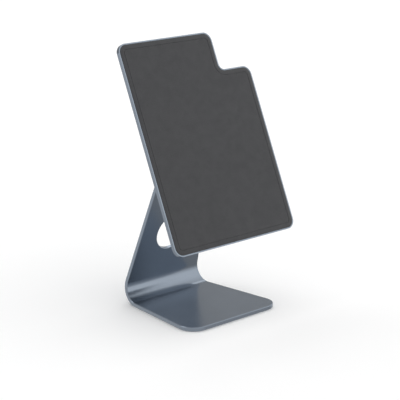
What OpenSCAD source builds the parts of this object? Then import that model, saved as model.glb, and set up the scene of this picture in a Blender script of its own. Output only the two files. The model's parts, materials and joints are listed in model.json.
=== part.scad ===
// Magnetic tablet stand: a bent sheet base, a friction hinge and a turning magnetic plate.
// X is the viewer's right, -Y the front, +Z up. The origin is the centre of the resting face.

/* [Base sheet] */
// Thickness of the sheet
sheet_t = 5; // [4:0.5:8]
// Width of the foot at its front edge
foot_w = 154; // [140:1:180]
// Length of the flat foot, from its front edge to the bend
foot_len = 122.6; // [110:0.1:150]
// Radius of the foot's front corners
foot_corner_r = 21; // [10:1:30]
// Inner radius of the bend
bend_r = 18.3; // [12:0.1:26]
// Forward lean of the upright, in degrees
upright_lean = 18; // [10:1:20]
// Length of the upright above the bend
upright_len = 188; // [180:1:200]
// Radius of the upright's top corners
top_corner_r = 10; // [4:1:16]
// Loss of half-width for each millimetre of sheet length
side_taper = 0.105; // [0.08:0.001:0.11]

/* [Cable hole] */
// Radius of the cable hole
cable_r = 26; // [15:1:30]
// Height of the hole's centre above the bend, along the upright
cable_u = 62.9; // [50:0.1:90]

/* [Foot pad] */
// Thickness of the foot pad
pad_t = 1.6; // [1.2:0.1:2.4]
// How far the foot pad stands out below the sheet
pad_proud = 0.6; // [0.3:0.1:0.8]
// Distance from the foot's edges to the pad
pad_inset = 6; // [4:1:12]

/* [Tilt hinge] */
// Distance of the hinge axis above the bend, along the upright
hinge_u = 196.4; // [194:0.1:210]
// Distance of the hinge axis in front of the upright's front face
hinge_n = 8.1; // [8.1:0.1:12]
// Radius of the barrel and of the ears
barrel_r = 8; // [8:0.1:8]
// Radius of the hinge shaft
shaft_r = 4; // [3.5:0.1:4]
// Width of the barrel between the friction washers
barrel_w = 31.9; // [28:0.1:36]
// Thickness of each ear
ear_t = 11; // [10:0.5:14]
// Thickness of the bracket's mounting plate
bracket_t = 4; // [3.5:0.5:5]

/* [Swivel] */
// Distance from the hinge axis to the plate's rear face
plate_w0 = 16; // [16:0.5:20]
// Outer radius of the retainer ring
ring_r = 34; // [33.5:0.5:40]
// Radius of the neck that turns in the ring
neck_r = 24.95; // [20:0.05:24.95]
// Radius of the flange that the ring holds
flange_r = 28.7; // [26:0.1:28.7]

/* [Magnetic plate] */
// Lean of the plate from the vertical, in degrees
plate_lean = 24; // [0:1:60]
// Width of the plate
plate_w = 199; // [180:1:210]
// Height of the plate
plate_h = 264; // [240:1:274]
// Radius of the plate's corners
plate_r = 12; // [8:1:16]
// Width of the camera cut-away
notch_w = 50; // [30:1:55]
// Height of the camera cut-away
notch_h = 50; // [30:1:55]
// Width of the plate's rim
rim_w = 1.6; // [1.2:0.1:2.4]
// Thickness of the tray's floor
floor_t = 1.6; // [1.6:0.1:2]
// Thickness of the soft front skin
skin_t = 0.9; // [0.6:0.1:1.2]

/* [Hidden] */
$fn = 96;

eps = 0.01;          // overlap that keeps cuts clean
fit_gap = 0.05;      // play of a running face
part_gap = 0.3;      // play between parts that never touch

// Base sheet
bend_angle = 90 + upright_lean;
bend_outer = bend_r + sheet_t;
base_depth = foot_len + bend_outer;
foot_front = -base_depth / 2;
foot_back = foot_front + foot_len;
bend_z = pad_proud + bend_outer;
bend_steps = 6;
bend_step = bend_angle / bend_steps;
half_foot = foot_w / 2;
pad_len = foot_len - 2 * pad_inset;
pad_front_r = foot_corner_r - pad_inset;
pad_back_r = 5;
pad_gap = 0.1;

// Hinge, along the axis
friction_t = 1;
friction_r = 7.6;
ear_in = barrel_w / 2 + fit_gap + friction_t;
ear_out = ear_in + ear_t;
pocket_r = 6.5;
pocket_d = 7.5;
pocket_x = ear_out - pocket_d;
bush_r = 5;
bush_len = 12;
bush_play = 0.04;
shaft_head_r = 5.6;
shaft_head_t = 3.5;
shaft_socket = 4;
thread_r = 3;
thread_len = 6.6;
cap_t = 2;
cap_chamfer = 0.6;
cap_skirt_h = 2.2;
cap_skirt_t = 0.53;
spring_r = 6.1;
spring_t = 0.5;
spring_rise = 0.3;
spring_count = 3;
spring_stack = spring_count * (spring_t + spring_rise);
thrust_t = 0.8;
nut_t = 3.2;
nut_flats = 10;

// Bracket plate, along the upright
bracket_u0 = 160;
bracket_u1 = 186;
screw_x = 9.5;
screw_u = [166, 179];
m4_r = 2;
m4_head_r = 4;
m4_len = 7.8;
m4_socket = 2.5;
m4_hole_depth = 4;

// Swivel, along the plate's front normal from the hinge axis
ring_h = 7;
ring_w0 = plate_w0 - ring_h;
ring_chamfer = 1;
lip_t = 2;
slip_t = 0.9;
flange_w0 = ring_w0 + lip_t + slip_t + 2 * fit_gap;
flange_t = 2.4;
slip_front_t = 0.5;
slip_front_r = 20;
spring_front_w = flange_w0 + flange_t + fit_gap + slip_front_t;
lip_r = neck_r + fit_gap;
cavity_r = flange_r + part_gap;
screw_ring_r = (cavity_r + ring_r) / 2;
m3_r = 1.5;
m3_head_r = 2.75;
m3_len = 6.6;
m3_socket = 2;
m3_hole_len = 6.8;
ring_screw_count = 6;
ring_screw_start = 30;

// Plate, along the same normal
floor_w = plate_w0 + floor_t;
yoke_t = 0.5;
magnet_t = 2;
carrier_t = yoke_t + magnet_t;
skin_w = floor_w + carrier_t;
rim_rise = 0.5;
rim_top = skin_w + rim_rise;
carrier_gap = 0.2;
skin_gap = 0.1;
magnet_w = 8;
magnet_h = 22;
magnet_cols = [74, 86];
magnet_rows = [for (v = [-100:25:100]) v];
yoke_x = (magnet_cols[0] + magnet_cols[1]) / 2;
yoke_w = 22;
yoke_end = 112;
yoke_notch_end = 62;
notch_x = plate_w / 2 - notch_w;
notch_v = plate_h / 2 - notch_h;
notch_r = 8;

anodised = [0.40, 0.45, 0.53];
steel = [0.78, 0.78, 0.80];
bronze = [0.76, 0.60, 0.32];
slip_white = [0.92, 0.92, 0.90];
soft_black = [0.10, 0.10, 0.11];

function half_at(s) = half_foot - side_taper * s;
function arc_len(r, a) = r * a * PI / 180;

blank_at_upright = foot_len + arc_len(bend_r + sheet_t / 2, bend_angle);
half_upright = half_at(blank_at_upright);

// ---- frames ----

// x across, y up the upright from the end of the bend, z forward off its front face
module on_upright() {
    translate([0, foot_back, bend_z])
        rotate([90 + upright_lean, 0, 0])
            translate([0, 0, -bend_r]) children();
}

// x along the hinge axis, y up the plate, z along the plate's front normal
module on_hinge() {
    translate(hinge_pos()) rotate([90 - plate_lean, 0, 0]) children();
}

function hinge_pos() = [
    0,
    foot_back + (bend_r - hinge_n) * cos(upright_lean) - hinge_u * sin(upright_lean),
    bend_z + (bend_r - hinge_n) * sin(upright_lean) + hinge_u * cos(upright_lean)
];

// turns a cylinder's axis from +z to +x
module along_x(x0) {
    translate([x0, 0, 0]) rotate([0, 90, 0]) children();
}

// ---- shared shapes ----

// a trapezoid from y0 (half-width h0) up to y1, with corners rounded by r0 at y0 and r1 at y1
module tapered_outline(h0, taper, y0, y1, r0, r1) {
    slant = sqrt(1 + taper * taper);
    h1 = h0 - taper * (y1 - y0);
    c0 = h0 - taper * r0 - r0 * slant;
    c1 = h1 + taper * r1 - r1 * slant;
    s0 = [c0 + r0 / slant, y0 + r0 + r0 * taper / slant];
    s1 = [c1 + r1 / slant, y1 - r1 + r1 * taper / slant];
    polygon([
        [-c0, y0], [c0, y0], s0, s1, [c1, y1],
        [-c1, y1], [-s1[0], s1[1]], [-s0[0], s0[1]]
    ]);
    for (side = [-1, 1]) {
        if (r0 > 0) translate([side * c0, y0 + r0]) circle(r0);
        if (r1 > 0) translate([side * c1, y1 - r1]) circle(r1);
    }
}

module rounded_rect(x0, y0, x1, y1, r) {
    translate([x0 + r, y0]) square([x1 - x0 - 2 * r, y1 - y0]);
    translate([x0, y0 + r]) square([x1 - x0, y1 - y0 - 2 * r]);
    for (x = [x0 + r, x1 - r], y = [y0 + r, y1 - r]) translate([x, y]) circle(r);
}

// the plate's outline, moved inwards by inset, with the camera cut-away
module plate_outline(inset) {
    x1 = plate_w / 2 - inset;
    y1 = plate_h / 2 - inset;
    nx = notch_x - inset;
    ny = notch_v - inset;
    r = plate_r - inset;
    rounded_rect(-x1, -y1, nx, y1, r);
    rounded_rect(-x1, -y1, x1, ny, r);
    difference() {
        translate([nx - eps, ny - eps]) square(notch_r + inset + eps);
        translate([nx + notch_r + inset, ny + notch_r + inset]) circle(notch_r + inset);
    }
}

module ring(r_in, r_out, h) {
    difference() {
        cylinder(r = r_out, h = h);
        translate([0, 0, -1]) cylinder(r = r_in, h = h + 2);
    }
}

// a hexagonal prism, size being the distance between its flats
module hexagon(size, h) {
    cylinder(d = size / cos(30), h = h, $fn = 6);
}

// a countersunk screw, head at z = 0, shank towards -z
module flat_screw(r, head_r, len, socket) {
    socket_depth = 0.4 * head_r;
    difference() {
        union() {
            translate([0, 0, -len]) cylinder(r = r, h = len);
            translate([0, 0, r - head_r]) cylinder(r1 = r, r2 = head_r, h = head_r - r);
        }
        translate([0, 0, -socket_depth]) hexagon(socket, head_r);
    }
}

module flat_screw_hole(r, head_r, len) {
    translate([0, 0, -len]) cylinder(r = r, h = len);
    translate([0, 0, r - head_r]) cylinder(r1 = r, r2 = head_r, h = head_r - r);
    cylinder(r = head_r, h = 1);
}

module at_bracket_screws() {
    for (x = [-screw_x, screw_x], u = screw_u)
        on_upright() translate([x, u, bracket_t]) children();
}

module at_ring_screws() {
    for (i = [0:ring_screw_count - 1])
        on_hinge() rotate([0, 0, ring_screw_start + i * 360 / ring_screw_count])
            translate([screw_ring_r, 0, floor_w]) children();
}

// ---- base ----

// the region inside the bent line of this radius, seen from the side: x is depth, y is height
module inside_bend(r, over, depth) {
    centre = [foot_back, bend_z];
    along = [-sin(upright_lean), cos(upright_lean)];
    back = [cos(upright_lean), sin(upright_lean)];
    start = centre + r * back;
    top = start + (upright_len + over) * along;
    polygon([
        [foot_front - over, bend_z - r], [foot_back, bend_z - r], start, top,
        top - depth * back, [foot_front - over, bend_z - r + depth]
    ]);
    translate(centre) circle(r);
}

// the bent sheet at full width
module wide_sheet() {
    over = 1;
    translate([-half_foot, 0, 0]) rotate([90, 0, 90]) linear_extrude(foot_w) difference() {
        inside_bend(bend_outer, 0, sheet_t + over);
        inside_bend(bend_r, over, 3 * over);
    }
}

// one step of the blank's width around the bend, so that the edge follows the flat blank
module bend_zone(i) {
    mid = (i + 0.5) * bend_step;
    half_mid = half_at(foot_len + arc_len(bend_r + sheet_t / 2, mid));
    over = 1;
    near = bend_r - over;
    far = bend_outer + over;
    spread_near = near * tan(bend_step / 2) + eps;
    spread = far * tan(bend_step / 2) + eps;
    narrow = half_mid - side_taper * spread;
    wide = half_mid + side_taper * spread;
    translate([0, foot_back, bend_z]) rotate([mid, 0, 0]) intersection() {
        along_x(-half_foot) linear_extrude(foot_w)
            polygon([[near, -spread_near], [far, -spread], [far, spread], [near, spread_near]]);
        translate([0, 0, -far - over]) linear_extrude(far + over)
            polygon([[-wide, -spread], [wide, -spread], [narrow, spread], [-narrow, spread]]);
    }
}

// the blank's outline, carried around the bend, thicker than the sheet by 1 mm on each side
module blank_zone() {
    translate([0, foot_front, pad_proud - 1]) linear_extrude(sheet_t + 2)
        tapered_outline(half_foot, side_taper, 0, foot_len + eps, foot_corner_r, 0);
    for (i = [0:bend_steps - 1]) bend_zone(i);
    on_upright() translate([0, 0, -sheet_t - 1]) linear_extrude(sheet_t + 2)
        tapered_outline(half_upright, side_taper, -eps, upright_len, 0, top_corner_r);
}

module pad_outline(gap) {
    tapered_outline(half_at(pad_inset) - pad_inset - gap, side_taper, pad_inset + gap,
        pad_inset + pad_len - gap, pad_front_r, pad_back_r);
}

module base_plate() {
    color(anodised) difference() {
        intersection() {
            wide_sheet();
            blank_zone();
        }
        translate([0, foot_front, pad_proud - eps]) linear_extrude(pad_t - pad_proud + eps)
            pad_outline(0);
        on_upright() translate([0, cable_u, -sheet_t - 1]) cylinder(r = cable_r, h = sheet_t + 2);
        at_bracket_screws() translate([0, 0, -bracket_t - m4_hole_depth])
            cylinder(r = m4_r, h = m4_hole_depth + 1);
    }
}

module foot_pad() {
    color(soft_black) translate([0, foot_front, 0]) linear_extrude(pad_t) pad_outline(pad_gap);
}

// ---- hinge ----

// outline of an ear, seen along the hinge: x is height on the upright, y is forward
module ear_outline() {
    foot_u = bracket_u0 + 4;
    slope = 114;    // direction, from the hinge axis, in which the front slope leaves the circle
    polygon([
        [foot_u, 0], [upright_len, 0], [hinge_u, hinge_n - barrel_r + 0.5], [hinge_u, hinge_n],
        [hinge_u + barrel_r * cos(slope), hinge_n + barrel_r * sin(slope)], [foot_u, bracket_t]
    ]);
    translate([hinge_u, hinge_n]) circle(barrel_r);
}

module ear(x0) {
    on_upright() translate([x0, 0, 0]) rotate([90, 0, 90]) linear_extrude(ear_t) ear_outline();
}

module hinge_bracket() {
    color(anodised) difference() {
        union() {
            on_upright() translate([-ear_out, bracket_u0, 0])
                cube([2 * ear_out, bracket_u1 - bracket_u0, bracket_t]);
            ear(-ear_out);
            ear(ear_in);
        }
        on_hinge() along_x(-ear_out - 1) cylinder(r = shaft_r, h = 2 * ear_out + 2);
        on_hinge() along_x(-ear_out - 1) cylinder(r = pocket_r, h = pocket_d + 1);
        on_hinge() along_x(pocket_x) cylinder(r = pocket_r, h = pocket_d + 1);
        at_bracket_screws() flat_screw_hole(m4_r, m4_head_r, bracket_t + 1);
    }
}

module bracket_screws() {
    color(steel) at_bracket_screws() flat_screw(m4_r, m4_head_r, m4_len, m4_socket);
}

module hinge_shaft() {
    head_x = -pocket_x - shaft_head_t;
    color(steel) on_hinge() difference() {
        union() {
            along_x(-pocket_x) cylinder(r = shaft_r, h = 2 * pocket_x);
            along_x(head_x) cylinder(r = shaft_head_r, h = shaft_head_t);
            along_x(pocket_x - eps) cylinder(r = thread_r, h = thread_len);
        }
        along_x(head_x - 1) hexagon(shaft_socket, 3);
    }
}

module friction_washer(x0) {
    color(bronze) on_hinge() along_x(x0) ring(shaft_r, friction_r, friction_t);
}

module friction_washer_left() {
    friction_washer(-ear_in);
}

module friction_washer_right() {
    friction_washer(ear_in - friction_t);
}

module disc_springs() {
    color(steel) on_hinge() for (i = [0:spring_count - 1])
        along_x(pocket_x + i * (spring_t + spring_rise)) {
            dish = i % 2 == 0 ? 0 : spring_rise;
            rotate_extrude() polygon([
                [thread_r + 0.1, dish], [spring_r, spring_rise - dish],
                [spring_r, spring_rise - dish + spring_t], [thread_r + 0.1, dish + spring_t]
            ]);
        }
}

module thrust_washer() {
    color(steel) on_hinge() along_x(pocket_x + spring_stack) ring(thread_r, spring_r, thrust_t);
}

module shaft_nut() {
    color(steel) on_hinge() along_x(pocket_x + spring_stack + thrust_t) difference() {
        hexagon(nut_flats, nut_t);
        translate([0, 0, -1]) cylinder(r = thread_r, h = nut_t + 2);
    }
}

// a cap that closes the pocket at the end of an ear; dir is -1 on the left, 1 on the right
module end_cap(dir) {
    skirt_r = pocket_r - 0.02;
    color(anodised) on_hinge() mirror([dir < 0 ? 1 : 0, 0, 0]) along_x(ear_out) {
        rotate_extrude() polygon([
            [0, 0], [barrel_r, 0], [barrel_r, cap_t - cap_chamfer],
            [barrel_r - cap_chamfer, cap_t], [0, cap_t]
        ]);
        translate([0, 0, -cap_skirt_h]) ring(skirt_r - cap_skirt_t, skirt_r, cap_skirt_h);
    }
}

module end_cap_left() {
    end_cap(-1);
}

module end_cap_right() {
    end_cap(1);
}

// ---- tilting head ----

module tilt_arm() {
    stem_h = 14;
    color(anodised) on_hinge() difference() {
        union() {
            along_x(-barrel_w / 2) cylinder(r = barrel_r, h = barrel_w);
            translate([-barrel_w / 2, -stem_h / 2, 0]) cube([barrel_w, stem_h, ring_w0 + 1]);
            translate([0, 0, ring_w0]) cylinder(r = neck_r, h = flange_w0 - ring_w0);
            translate([0, 0, flange_w0]) cylinder(r = flange_r, h = flange_t);
        }
        along_x(-barrel_w / 2 - 1) cylinder(r = bush_r, h = barrel_w + 2);
    }
}

module bush(x0) {
    color(bronze) on_hinge() along_x(x0) ring(shaft_r + bush_play, bush_r, bush_len);
}

module bush_left() {
    bush(-barrel_w / 2);
}

module bush_right() {
    bush(barrel_w / 2 - bush_len);
}

// ---- magnetic plate ----

module retainer_ring() {
    color(anodised) difference() {
        on_hinge() rotate_extrude() polygon([
            [lip_r, ring_w0], [ring_r - ring_chamfer, ring_w0], [ring_r, ring_w0 + ring_chamfer],
            [ring_r, plate_w0], [cavity_r, plate_w0], [cavity_r, ring_w0 + lip_t],
            [lip_r, ring_w0 + lip_t]
        ]);
        at_ring_screws() translate([0, 0, -m3_hole_len]) cylinder(r = m3_r, h = m3_hole_len);
    }
}

module slip_washer_rear() {
    color(slip_white) on_hinge() translate([0, 0, ring_w0 + lip_t])
        ring(lip_r + part_gap, cavity_r - part_gap, slip_t);
}

module slip_washer_front() {
    color(slip_white) on_hinge() translate([0, 0, flange_w0 + flange_t + fit_gap])
        ring(slip_front_r, cavity_r - part_gap, slip_front_t);
}

module swivel_spring() {
    outer = 27;
    inner = 21;
    thick = 0.5;
    color(steel) on_hinge() rotate_extrude() polygon([
        [outer, spring_front_w], [outer, spring_front_w + thick],
        [inner, plate_w0], [inner, plate_w0 - thick]
    ]);
}

module plate_shell() {
    color(anodised) difference() {
        on_hinge() translate([0, 0, plate_w0]) linear_extrude(rim_top - plate_w0)
            plate_outline(0);
        on_hinge() translate([0, 0, floor_w]) linear_extrude(rim_top - floor_w + 1)
            plate_outline(rim_w);
        at_ring_screws() flat_screw_hole(m3_r, m3_head_r, floor_t + 1);
    }
}

module ring_screws() {
    color(steel) at_ring_screws() flat_screw(m3_r, m3_head_r, m3_len, m3_socket);
}

module at_magnets() {
    for (side = [-1, 1], x = magnet_cols, v = magnet_rows)
        if (side < 0 || v < notch_v - magnet_h)
            on_hinge() translate([side * x, v, floor_w + yoke_t]) children();
}

module yoke(side, grow) {
    end = side < 0 ? yoke_end : yoke_notch_end;
    on_hinge() translate([side * yoke_x - yoke_w / 2 - grow, -yoke_end - grow, floor_w])
        cube([yoke_w + 2 * grow, yoke_end + end + 2 * grow, yoke_t]);
}

module magnet_carrier() {
    grow = 0.1;
    color(soft_black) difference() {
        on_hinge() translate([0, 0, floor_w]) linear_extrude(carrier_t)
            plate_outline(rim_w + carrier_gap);
        for (side = [-1, 1]) yoke(side, grow);
        at_magnets() translate([0, 0, magnet_t / 2])
            cube([magnet_w + 2 * grow, magnet_h + 2 * grow, magnet_t + 1], center = true);
    }
}

module yoke_strips() {
    color(steel) for (side = [-1, 1]) yoke(side, 0);
}

module magnets() {
    color(steel) at_magnets() translate([-magnet_w / 2, -magnet_h / 2, 0])
        cube([magnet_w, magnet_h, magnet_t]);
}

module grip_pad() {
    color(soft_black) on_hinge() translate([0, 0, skin_w]) linear_extrude(skin_t)
        plate_outline(rim_w + skin_gap);
}

base_plate();
foot_pad();
hinge_bracket();
bracket_screws();
hinge_shaft();
friction_washer_left();
friction_washer_right();
disc_springs();
thrust_washer();
shaft_nut();
end_cap_left();
end_cap_right();
tilt_arm();
bush_left();
bush_right();
retainer_ring();
slip_washer_rear();
slip_washer_front();
swivel_spring();
plate_shell();
ring_screws();
magnet_carrier();
yoke_strips();
magnets();
grip_pad();
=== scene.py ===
import json
import math

import bmesh
import bpy
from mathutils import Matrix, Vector, geometry

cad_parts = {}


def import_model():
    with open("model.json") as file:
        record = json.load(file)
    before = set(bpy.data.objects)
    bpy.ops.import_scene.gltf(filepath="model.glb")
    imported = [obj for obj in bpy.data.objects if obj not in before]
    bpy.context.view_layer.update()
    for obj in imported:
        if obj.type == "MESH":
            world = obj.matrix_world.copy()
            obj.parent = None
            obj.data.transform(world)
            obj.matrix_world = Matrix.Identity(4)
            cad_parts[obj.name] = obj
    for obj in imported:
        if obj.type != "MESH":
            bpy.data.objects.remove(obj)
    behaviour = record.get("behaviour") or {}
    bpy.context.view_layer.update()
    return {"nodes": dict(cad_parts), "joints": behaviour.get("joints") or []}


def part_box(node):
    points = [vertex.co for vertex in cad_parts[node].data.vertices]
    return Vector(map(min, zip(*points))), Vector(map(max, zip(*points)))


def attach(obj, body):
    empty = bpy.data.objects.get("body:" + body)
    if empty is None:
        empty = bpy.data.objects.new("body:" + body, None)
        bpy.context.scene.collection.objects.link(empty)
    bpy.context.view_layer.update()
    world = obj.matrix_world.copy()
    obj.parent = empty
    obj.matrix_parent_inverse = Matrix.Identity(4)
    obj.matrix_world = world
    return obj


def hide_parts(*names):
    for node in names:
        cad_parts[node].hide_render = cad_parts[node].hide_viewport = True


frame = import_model()

MM = 0.001
CLOSE = 0.003 * MM  # points nearer than this are one point

# ---- the base sheet and its foot pad, in metres ----
SHEET_T = 5 * MM
FOOT_W = 154 * MM
FOOT_LEN = 122.6 * MM  # from the front edge to the bend
FOOT_CORNER_R = 21 * MM
BEND_R = 18.3 * MM  # inside the bend
UPRIGHT_LEN = 188 * MM  # from the bend to the top edge
TOP_CORNER_R = 10 * MM
SIDE_TAPER = 0.105  # how far each side comes in along a unit of the blank's length
LEAN = math.radians(18)  # of the upright, forward
CABLE_R = 26 * MM
CABLE_U = 62.9 * MM  # from the bend to the cable hole's centre
EDGE_CUT = 0.55 * MM  # width of the chamfers
PAD_INSET = 6 * MM  # from the foot's edge to the pad's recess
PAD_RECESS = 1 * MM  # depth of the recess
PAD_BACK_R = 5 * MM
PAD_GAP = 0.1 * MM  # between the pad and the recess's wall

# ---- the magnetic plate, in metres ----
PLATE_W = 199 * MM
PLATE_H = 264 * MM
PLATE_R = 12 * MM
NOTCH = 50 * MM  # each way, cut away for the tablet's camera
NOTCH_R = 8 * MM
PLATE_LEAN = math.radians(24)  # backward, at rest
RIM_GAP = 1.7 * MM  # from the plate's outline to the skin's edge

# ---- how finely shapes are made ----
CIRCLE_STEPS = 96
BEND_STEPS = 48
SHEET_CORNER_STEPS = 20
PLATE_CORNER_STEPS = 10
SLOT_END_STEPS = 10
BEVEL_STEPS = 2
FLAT_ANGLE = math.radians(0.5)  # faces that turn by less are one flat face
SHARP_ANGLE = math.radians(32)  # edges that turn by more stay crisp
BEVEL_ANGLE = math.radians(35)  # edges of a CAD node that turn by more are rounded
ROUND_MID = 0.3  # how far in a quarter round's middle point lies, as a share of its radius

# ---- places, from the frame ----
joints = {j["name"]: j for j in frame["joints"]}
HINGE = Vector(joints["tilt"]["pos_m"])
PLATE_NORMAL = Vector(joints["turn"]["axis"])
PLATE_UP = Vector((0, math.sin(PLATE_LEAN), math.cos(PLATE_LEAN)))

sheet_low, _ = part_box("base_plate")
FOOT_FRONT = sheet_low.y
SHEET_UNDERSIDE = sheet_low.z
BEND_OUTER = BEND_R + SHEET_T
BEND_ANGLE = math.radians(90) + LEAN
BEND_LEN = (BEND_R + SHEET_T / 2) * BEND_ANGLE
BLANK_LEN = FOOT_LEN + BEND_LEN + UPRIGHT_LEN

# ---- meshes ----


def arc(centre, r, start, end, steps):
    """Points on an arc from one angle to another, in degrees, both ends included."""
    angles = [math.radians(start + (end - start) * i / steps) for i in range(steps + 1)]
    return [(centre[0] + r * math.cos(a), centre[1] + r * math.sin(a)) for a in angles]


def circle(centre, r):
    return arc(centre, r, 0, 360, CIRCLE_STEPS)[:-1]


def loft(name, outline, wall, holes=(), pockets=()):
    """A closed solid. Its wall passes through each (inset, height) of wall, around the outline and
    every hole; each pocket is (outline, depth), sunk into the first end."""
    bm = bmesh.new()

    def ring(points, height):
        return [bm.verts.new((x, y, height)) for x, y in points]

    def skin(a, b):
        for i in range(len(a)):
            j = (i + 1) % len(a)
            bm.faces.new((a[i], a[j], b[j], b[i]))

    def cap(rings):
        flat = [v for r in rings for v in r]
        for tri in geometry.tessellate_polygon([[v.co for v in r] for r in rings]):
            bm.faces.new([flat[i] for i in tri])

    first, last = [], []
    for edge in (outline, *holes):
        rings = [ring(edge(inset), height) for inset, height in wall]
        for a, b in zip(rings, rings[1:]):
            skin(a, b)
        first.append(rings[0])
        last.append(rings[-1])
    for points, depth in pockets:
        mouth = ring(points, wall[0][1])
        bottom = ring(points, wall[0][1] + depth)
        skin(mouth, bottom)
        cap([bottom])
        first.append(mouth)
    cap(first)
    cap(last)
    bmesh.ops.recalc_face_normals(bm, faces=bm.faces)
    mesh = bpy.data.meshes.new(name)
    bm.to_mesh(mesh)
    bm.free()
    piece = bpy.data.objects.new(name, mesh)
    bpy.context.scene.collection.objects.link(piece)
    return piece


def carry(piece, place):
    """Moves every point of a piece by a rule."""
    for v in piece.data.vertices:
        v.co = place(v.co)
    piece.data.update()


def smooth(piece):
    """Smooth shading, apart from the sharp edges."""
    piece.data.shade_smooth()
    piece.data.set_sharp_from_angle(angle=SHARP_ANGLE)


def soften(node, width):
    """Rounds the edges of a CAD node with modifiers, which leave its mesh as it is. Its flat faces
    are made whole first, so that the bevel meets no thin triangles. The rounded edges take the
    node's last material."""
    o = frame["nodes"][node]
    weld = o.modifiers.new("weld", "WELD")
    weld.merge_threshold = CLOSE
    whole = o.modifiers.new("whole", "DECIMATE")
    whole.decimate_type = "DISSOLVE"
    whole.angle_limit = FLAT_ANGLE
    bevel = o.modifiers.new("bevel", "BEVEL")
    bevel.width = width
    bevel.segments = BEVEL_STEPS
    bevel.limit_method = "ANGLE"
    bevel.angle_limit = BEVEL_ANGLE
    bevel.harden_normals = True
    bevel.material = len(o.data.materials) - 1
    o.data.shade_smooth()
    normals = o.modifiers.new("normals", "WEIGHTED_NORMAL")
    normals.keep_sharp = True


# ---- base sheet ----


def half_at(s):
    """Half the blank's width at a length along it."""
    return FOOT_W / 2 - SIDE_TAPER * s


def tapered(start, end, r_start, r_end):
    """The blank's outline between two lengths along it, as a function of the inset."""
    slant = math.hypot(1, SIDE_TAPER)
    turn = math.degrees(math.atan(SIDE_TAPER))

    def outline(inset):
        r0, r1 = r_start - inset, r_end - inset
        s0, s1 = start + inset, end - inset
        x0 = half_at(s0 + r0) - (r0 + inset) * slant
        x1 = half_at(s1 - r1) - (r1 + inset) * slant
        right = arc((x0, s0 + r0), r0, -90, turn, SHEET_CORNER_STEPS)
        right += arc((x1, s1 - r1), r1, turn, 90, SHEET_CORNER_STEPS)
        return right + [(-x, y) for x, y in reversed(right)]

    return outline


def bend_sheet(p):
    """Carries a point of the flat blank (across, along, up from the underside) to the bent sheet."""
    angle = min(max(p.y - FOOT_LEN, 0), BEND_LEN) / BEND_LEN * BEND_ANGLE
    after = max(p.y - FOOT_LEN - BEND_LEN, 0)
    before = min(p.y, FOOT_LEN)
    radius = BEND_OUTER - p.z
    y = FOOT_FRONT + before + radius * math.sin(angle) + after * math.cos(angle)
    z = SHEET_UNDERSIDE + BEND_OUTER - radius * math.cos(angle) + after * math.sin(angle)
    return Vector((p.x, y, z))


def cut_across(piece, places):
    """Adds edges across the blank at each length, so that it can bend there."""
    bm = bmesh.new()
    bm.from_mesh(piece.data)
    for s in places:
        whole = bm.verts[:] + bm.edges[:] + bm.faces[:]
        bmesh.ops.bisect_plane(bm, geom=whole, dist=CLOSE, plane_co=(0, s, 0), plane_no=(0, 1, 0))
    bmesh.ops.remove_doubles(bm, verts=bm.verts, dist=CLOSE)
    bmesh.ops.dissolve_degenerate(bm, edges=bm.edges, dist=CLOSE)
    bmesh.ops.triangulate(bm, faces=bm.faces)
    bm.to_mesh(piece.data)
    bm.free()


def pad_outline(gap):
    """The foot pad's recess in the flat blank, moved inwards by a gap."""
    return tapered(0, FOOT_LEN, FOOT_CORNER_R, PAD_INSET + PAD_BACK_R)(PAD_INSET + gap)


def base_sheet():
    """The foot, bend and upright: a flat blank with chamfered edges, carried round the bend. One
    more edge a lead before and after the bend keeps the flat parts' shading flat."""
    lead = 1.5 * MM
    hole_at = FOOT_LEN + BEND_LEN + CABLE_U
    wall = [(EDGE_CUT, 0), (0, EDGE_CUT), (0, SHEET_T - EDGE_CUT), (EDGE_CUT, SHEET_T)]
    piece = loft(
        "base_sheet",
        tapered(0, BLANK_LEN, FOOT_CORNER_R, TOP_CORNER_R),
        wall,
        holes=[lambda inset: circle((0, hole_at), CABLE_R + inset)],
        pockets=[(pad_outline(0), PAD_RECESS)],
    )
    bends = [FOOT_LEN + BEND_LEN * i / BEND_STEPS for i in range(BEND_STEPS + 1)]
    cut_across(piece, [FOOT_LEN - lead, *bends, FOOT_LEN + BEND_LEN + lead])
    mark_cut_edges(piece)
    carry(piece, bend_sheet)
    smooth(piece)
    return piece


def mark_cut_edges(piece):
    """Gives the chamfers of a flat blank, which face neither up nor sideways, its second material,
    whose lighter colour is a painted highlight.
    """
    sideways, up = 0.3, 0.9
    for face in piece.data.polygons:
        if sideways < abs(face.normal.z) < up:
            face.material_index = 1


def foot_grip():
    """The silicone pad: a rounded edge, a channel all round and slots across, so that it grips."""
    low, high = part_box("foot_pad")
    top = high.z - low.z
    edge_r = 0.4 * MM
    channel_at = 4 * MM
    channel_w = 1.6 * MM
    channel_d = 0.5 * MM
    slope = 0.3 * MM
    wall = [
        (channel_at + channel_w, 0),
        (channel_at + channel_w - slope, channel_d),
        (channel_at + slope, channel_d),
        (channel_at, 0),
        (edge_r, 0),
        (ROUND_MID * edge_r, ROUND_MID * edge_r),
        (0, edge_r),
        (0, top),
    ]
    slot_r = 2.2 * MM
    slot_d = 0.5 * MM
    slot_to_side = 16 * MM
    slot_count = 7
    slot_pitch = 13 * MM
    first_slot = 24 * MM
    slots = []
    for i in range(slot_count):
        s = first_slot + slot_pitch * i
        reach = half_at(s) - slot_to_side - slot_r
        right = arc((reach, s), slot_r, -90, 90, SLOT_END_STEPS)
        left = arc((-reach, s), slot_r, 90, 270, SLOT_END_STEPS)
        slots.append((right + left, slot_d))
    piece = loft("foot_grip", lambda inset: pad_outline(PAD_GAP + inset), wall, pockets=slots)
    carry(piece, lambda p: Vector((p.x, FOOT_FRONT + p.y, low.z + p.z)))
    smooth(piece)
    return piece


# ---- magnetic plate ----


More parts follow.
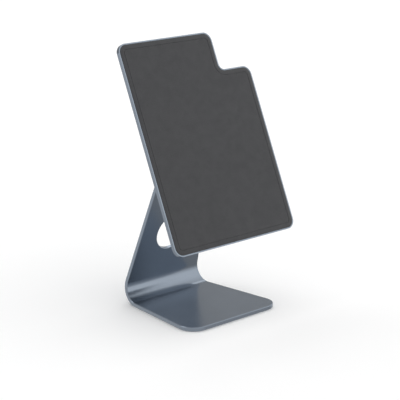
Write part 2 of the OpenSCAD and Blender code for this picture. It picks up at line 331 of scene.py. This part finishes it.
def plate_outline(inset):
    """The plate's outline with the camera cut-away, moved inwards, in the plate's own plane."""
    steps = PLATE_CORNER_STEPS
    x, y = PLATE_W / 2 - inset, PLATE_H / 2 - inset
    nx, ny = x - NOTCH, y - NOTCH
    r, nr = PLATE_R - inset, NOTCH_R + inset
    return (
        arc((x - r, -y + r), r, -90, 0, steps)
        + arc((x - r, ny - r), r, 0, 90, steps)
        + arc((nx + nr, ny + nr), nr, 270, 180, steps)
        + arc((nx - r, y - r), r, 0, 90, steps)
        + arc((-x + r, y - r), r, 90, 180, steps)
        + arc((-x + r, -y + r), r, 180, 270, steps)
    )


def on_plate(p):
    """From the plate's own frame, measured from the hinge, to the row frame."""
    return HINGE + Vector((p.x, 0, 0)) + PLATE_UP * p.y + PLATE_NORMAL * p.z


def along_normal(node):
    """How far a node reaches along the plate's normal, from the hinge axis."""
    reach = [(v.co - HINGE).dot(PLATE_NORMAL) for v in frame["nodes"][node].data.vertices]
    return min(reach), max(reach)


def grip_skin():
    """The soft skin that the tablet rests on: a rounded edge, and a fine groove a little way in."""
    back, front = along_normal("grip_pad")
    edge_r = 0.35 * MM
    groove_at = 5.5 * MM
    groove_w = 0.9 * MM
    groove_d = 0.3 * MM
    slope = 0.2 * MM
    wall = [
        (0, back),
        (0, front - edge_r),
        (ROUND_MID * edge_r, front - ROUND_MID * edge_r),
        (edge_r, front),
        (groove_at, front),
        (groove_at + slope, front - groove_d),
        (groove_at + groove_w - slope, front - groove_d),
        (groove_at + groove_w, front),
    ]
    piece = loft("grip_skin", lambda inset: plate_outline(RIM_GAP + inset), wall)
    carry(piece, on_plate)
    smooth(piece)
    return piece


# ---- materials ----

NOISE_LOW, NOISE_HIGH = 0.3, 0.7  # most of a noise texture's values lie between these


def shade(tone, share):
    """A colour, darkened to a share of its brightness."""
    return [c * share for c in tone]


class Shader:
    """A material's node tree, with short calls for the nodes that the materials share. A texture's
    scale is in features per metre."""

    def __init__(self, name):
        self.material = bpy.data.materials.new(name)
        self.material.use_nodes = True
        self.tree = self.material.node_tree
        self.bsdf = self.tree.nodes["Principled BSDF"]
        self.place = self.tree.nodes.new("ShaderNodeTexCoord").outputs["Object"]

    def set(self, **values):
        """Sets numbers on the shader's own sockets."""
        for key, value in values.items():
            self.bsdf.inputs[key.replace("_", " ")].default_value = value
        return self

    def node(self, kind, values, **options):
        """A new node. Each of its values is a number, or the output that it comes from."""
        made = self.tree.nodes.new(kind)
        for key, value in options.items():
            setattr(made, key, value)
        for key, value in values.items():
            if isinstance(value, bpy.types.NodeSocket):
                self.tree.links.new(value, made.inputs[key])
            else:
                made.inputs[key].default_value = value
        return made

    def noise(self, scale, detail=2):
        values = {"Vector": self.place, "Scale": scale, "Detail": detail}
        return self.node("ShaderNodeTexNoise", values).outputs["Fac"]

    def cells(self, scale, feature="F1"):
        values = {"Vector": self.place, "Scale": scale}
        return self.node("ShaderNodeTexVoronoi", values, feature=feature).outputs["Distance"]

    def remap(self, value, low, high, from_low=NOISE_LOW, from_high=NOISE_HIGH):
        values = {
            "Value": value, "From Min": from_low, "From Max": from_high,
            "To Min": low, "To Max": high,
        }
        return self.node("ShaderNodeMapRange", values).outputs["Result"]

    def mix(self, factor, a, b):
        """A mix of two colours."""
        made = self.tree.nodes.new("ShaderNodeMix")
        made.data_type = "RGBA"
        self.tree.links.new(factor, made.inputs["Factor"])
        made.inputs["A"].default_value = (*a, 1)
        made.inputs["B"].default_value = (*b, 1)
        return made.outputs["Result"]

    def blend(self, factor, a, b):
        """A mix of one colour with another output."""
        result = self.mix(factor, a, (0, 0, 0))
        self.tree.links.new(b, result.node.inputs["B"])
        return result

    def link(self, output, socket):
        self.tree.links.new(output, self.bsdf.inputs[socket])

    def bump(self, height, distance, strength, under=None):
        values = {"Height": height, "Distance": distance, "Strength": strength}
        if under:
            values["Normal"] = under
        return self.node("ShaderNodeBump", values).outputs["Normal"]


def blasted_metal(name, tone, dark, grain=1.0, rough=(0.20, 0.25)):
    """Bead-blasted and anodised aluminium: fine dimples, faint clouds in tone and gloss."""
    m = Shader(name).set(Metallic=1.0)
    depth = 0.006 * MM
    clouds = m.noise(28, detail=3)
    gloss = m.noise(60, detail=4)
    dimples = m.bump(m.cells(4200), depth, 0.35 * grain)
    grit = m.noise(2200)
    m.link(m.mix(m.remap(clouds, 0, 1), dark, tone), "Base Color")
    m.link(m.remap(gloss, *rough), "Roughness")
    m.link(m.bump(grit, depth, 0.3 * grain, under=dimples), "Normal")
    return m.material


def machined_steel(name, tone, rough=0.28):
    """Turned or pressed metal, with fine marks that show in its tone and its gloss."""
    m = Shader(name).set(Metallic=1.0)
    depth = 0.006 * MM
    marks = m.noise(900, detail=3)
    gloss = m.noise(350, detail=3)
    m.link(m.mix(m.remap(marks, 0, 1), shade(tone, 0.88), tone), "Base Color")
    m.link(m.remap(gloss, rough - 0.05, rough + 0.07), "Roughness")
    m.link(m.bump(marks, depth, 0.4), "Normal")
    return m.material


def moulded(name, tone, rough=(0.5, 0.62), grain=1800):
    """Plastic or rubber with a fine moulded grain."""
    m = Shader(name)
    depth = 0.02 * MM
    clouds = m.noise(40, detail=3)
    gloss = m.noise(120, detail=3)
    m.link(m.mix(m.remap(clouds, 0, 1), shade(tone, 0.85), tone), "Base Color")
    m.link(m.remap(gloss, *rough), "Roughness")
    m.link(m.bump(m.cells(grain), depth, 0.5), "Normal")
    return m.material


def soft_skin(name, tone):
    """Soft-touch skin with a fine leather grain: small cells with creases between them. The creases
    are painted darker, as painted shade.
    """
    m = Shader(name).set(Sheen_Weight=0.12, Sheen_Roughness=0.5)
    cell_depth = 0.05 * MM
    pore_depth = 0.02 * MM
    crease = 0.22
    cells = m.remap(m.cells(760, feature="DISTANCE_TO_EDGE"), 0, 1, 0, crease)
    clouds = m.noise(22, detail=4)
    gloss = m.noise(90, detail=3)
    pores = m.noise(2400, detail=3)
    worn = m.mix(m.remap(clouds, 0, 1), shade(tone, 0.86), tone)
    # painted shade: the creases between the cells are darkened in colour
    m.link(m.blend(cells, shade(tone, 0.6), worn), "Base Color")
    m.link(m.remap(gloss, 0.5, 0.6), "Roughness")
    m.link(m.bump(pores, pore_depth, 0.4, under=m.bump(cells, cell_depth, 0.6)), "Normal")
    return m.material


ANODISED = (0.234, 0.269, 0.316)
ANODISED_DARK = (0.223, 0.257, 0.303)
# the chamfers' lighter colour is a painted highlight, for the light that they catch
PAINTED_CHAMFER_HIGHLIGHT = (0.36, 0.39, 0.43)
WORN_EDGE = (0.30, 0.335, 0.38)

sheet_metal = blasted_metal("sheet_metal", ANODISED, ANODISED_DARK)
# painted highlight on the base sheet's chamfers
painted_chamfer_highlight = blasted_metal("painted_chamfer_highlight", PAINTED_CHAMFER_HIGHLIGHT, ANODISED, grain=0.4, rough=(0.20, 0.26))
cast_metal = blasted_metal("cast_metal", ANODISED, ANODISED_DARK, grain=1.3, rough=(0.26, 0.33))
worn_edge = blasted_metal("worn_edge", WORN_EDGE, ANODISED, grain=0.4, rough=(0.20, 0.26))
steel = machined_steel("steel", (0.55, 0.56, 0.58))
black_steel = machined_steel("black_steel", (0.05, 0.05, 0.055), rough=0.38)
nickel = machined_steel("nickel", (0.62, 0.60, 0.56), rough=0.22)
bronze = machined_steel("bronze", (0.52, 0.35, 0.16), rough=0.34)
slip_plastic = moulded("slip_plastic", (0.72, 0.72, 0.69), rough=(0.32, 0.40))
carrier_plastic = moulded("carrier_plastic", (0.03, 0.03, 0.033))
foot_rubber = moulded("foot_rubber", (0.022, 0.022, 0.024), rough=(0.6, 0.7), grain=1400)
skin_rubber = soft_skin("skin_rubber", (0.022, 0.023, 0.027))


def dress(piece, *materials):
    """Gives a piece its materials. The first one covers it, unless a face says otherwise."""
    piece.data.materials.clear()
    for m in materials:
        piece.data.materials.append(m)


# ---- pieces ----

sheet = base_sheet()
# the chamfers take the painted highlight
dress(sheet, sheet_metal, painted_chamfer_highlight)
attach(sheet, "base")
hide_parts("base_plate")

grip = foot_grip()
dress(grip, foot_rubber)
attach(grip, "base")
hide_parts("foot_pad")

skin = grip_skin()
dress(skin, skin_rubber)
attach(skin, "tablet_plate")
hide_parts("grip_pad")

FINISH = {
    "hinge_bracket": cast_metal, "bracket_screws": black_steel,
    "hinge_shaft": steel, "friction_washer_left": bronze, "friction_washer_right": bronze,
    "disc_springs": steel, "thrust_washer": steel, "shaft_nut": steel,
    "end_cap_left": cast_metal, "end_cap_right": cast_metal, "tilt_arm": cast_metal,
    "bush_left": bronze, "bush_right": bronze, "retainer_ring": cast_metal,
    "slip_washer_rear": slip_plastic, "slip_washer_front": slip_plastic,
    "swivel_spring": steel, "plate_shell": sheet_metal, "ring_screws": steel,
    "magnet_carrier": carrier_plastic, "yoke_strips": steel, "magnets": nickel,
}
ROUNDED = {
    "hinge_bracket": 0.4 * MM, "tilt_arm": 0.4 * MM, "retainer_ring": 0.3 * MM,
    "plate_shell": 0.35 * MM, "end_cap_left": 0.25 * MM, "end_cap_right": 0.25 * MM,
}
SCREW_ROUND = 0.1 * MM

for node, finish in FINISH.items():
    dress(frame["nodes"][node], finish)
for node, width in ROUNDED.items():
    frame["nodes"][node].data.materials.append(worn_edge)
    soften(node, width)
soften("bracket_screws", SCREW_ROUND)

# ---- stage ----

WHITE = (0.96, 0.96, 0.96)
FLOOR_REACH = 12.0  # from the middle to each edge
LAMP_AIM = Vector((0, 0, 0.15))


def studio_white():
    """Matt white paint with a trace of unevenness."""
    m = Shader("floor_white").set(Specular_IOR_Level=0.2, Roughness=0.8)
    m.link(m.mix(m.noise(3), shade(WHITE, 0.995), WHITE), "Base Color")
    return m.material


def floor():
    """A white floor. The metal mirrors the lower half of the world in its place."""
    reach = FLOOR_REACH
    corners = [(-reach, -reach, 0), (reach, -reach, 0), (reach, reach, 0), (-reach, reach, 0)]
    mesh = bpy.data.meshes.new("floor")
    mesh.from_pydata(corners, [], [(0, 1, 2, 3)])
    plane = bpy.data.objects.new("floor", mesh)
    bpy.context.scene.collection.objects.link(plane)
    plane.data.materials.append(studio_white())
    plane.visible_glossy = False


def softbox(name, place, size, power):
    """A square lamp that faces the stand, with its side in metres and its power in watts."""
    light = bpy.data.lights.new(name, "AREA")
    light.shape = "SQUARE"
    light.size = size
    light.energy = power
    lamp = bpy.data.objects.new(name, light)
    lamp.location = place
    lamp.rotation_euler = (LAMP_AIM - Vector(place)).to_track_quat("-Z", "Y").to_euler()
    bpy.context.scene.collection.objects.link(lamp)


def camera(azimuth, elevation, distance, aim, lens):
    """A camera that looks at aim. Azimuth 0 looks along +Y, with +X to the right."""
    a, e = math.radians(azimuth), math.radians(elevation)
    back = Vector((math.sin(a) * math.cos(e), -math.cos(a) * math.cos(e), math.sin(e)))
    data = bpy.data.cameras.new("camera")
    data.lens = lens
    cam = bpy.data.objects.new("camera", data)
    cam.location = Vector(aim) + back * distance
    cam.rotation_euler = (-back).to_track_quat("-Z", "Y").to_euler()
    bpy.context.scene.collection.objects.link(cam)
    bpy.context.scene.camera = cam


def world(base, zones, seen):
    """Soft light from all round, at a base level. Each zone (axis, start, end, level) fades it to
    another level, by how far a direction reaches along an axis. The camera itself sees plain white
    past the floor's edge."""
    made = bpy.data.worlds.new("studio")
    made.use_nodes = True
    tree = made.node_tree
    direction = tree.nodes.new("ShaderNodeTexCoord").outputs["Generated"]

    def fade(factor, a, b):
        mix = tree.nodes.new("ShaderNodeMix")
        for name, value in (("Factor", factor), ("A", a), ("B", b)):
            if isinstance(value, float):
                mix.inputs[name].default_value = value
            else:
                tree.links.new(value, mix.inputs[name])
        return mix.outputs["Result"]

    light = base
    for axis, start, end, level in zones:
        along = tree.nodes.new("ShaderNodeVectorMath")
        along.operation = "DOT_PRODUCT"
        along.inputs[1].default_value = axis
        tree.links.new(direction, along.inputs[0])
        reach = tree.nodes.new("ShaderNodeMapRange")
        reach.interpolation_type = "SMOOTHSTEP"
        reach.inputs["From Min"].default_value = start
        reach.inputs["From Max"].default_value = end
        tree.links.new(along.outputs["Value"], reach.inputs["Value"])
        light = fade(reach.outputs["Result"], light, level)
    eye = tree.nodes.new("ShaderNodeLightPath").outputs["Is Camera Ray"]
    background = tree.nodes["Background"]
    background.inputs["Color"].default_value = (1, 1, 1, 1)
    tree.links.new(fade(eye, light, seen), background.inputs["Strength"])
    bpy.context.scene.world = made


UP = (0, 0, 1)
DOWN = (0, 0, -1)
FRONT_RIGHT = (0.62, -0.76, 0.17)
SHADED_FLOOR = (0.65, -0.42, -0.64)
ZONES = [
    (FRONT_RIGHT, -0.1, 0.75, 1.39),  # the bright side of the studio
    (UP, 0.6, 1.0, 1.00),  # the ceiling
    (DOWN, 0.0, 0.06, 1.20),  # the far floor, just below the horizon
    (DOWN, 0.0, 0.4, 0.80),  # the floor nearer by
    (SHADED_FLOOR, 0.885, 0.965, 0.46),  # a patch of floor that lies in shade
]

floor()
world(base=0.47, zones=ZONES, seen=1.0)
softbox("key", place=(-1.8, 3.2, 5.0), size=3.5, power=58)
softbox("back", place=(1.5, 1.7, 3.0), size=2.0, power=16)
bpy.context.scene.view_settings.view_transform = "Standard"
camera(azimuth=-42.11, elevation=15.45, distance=1.8236, aim=(0, -0.0040, 0.1408), lens=131.42)
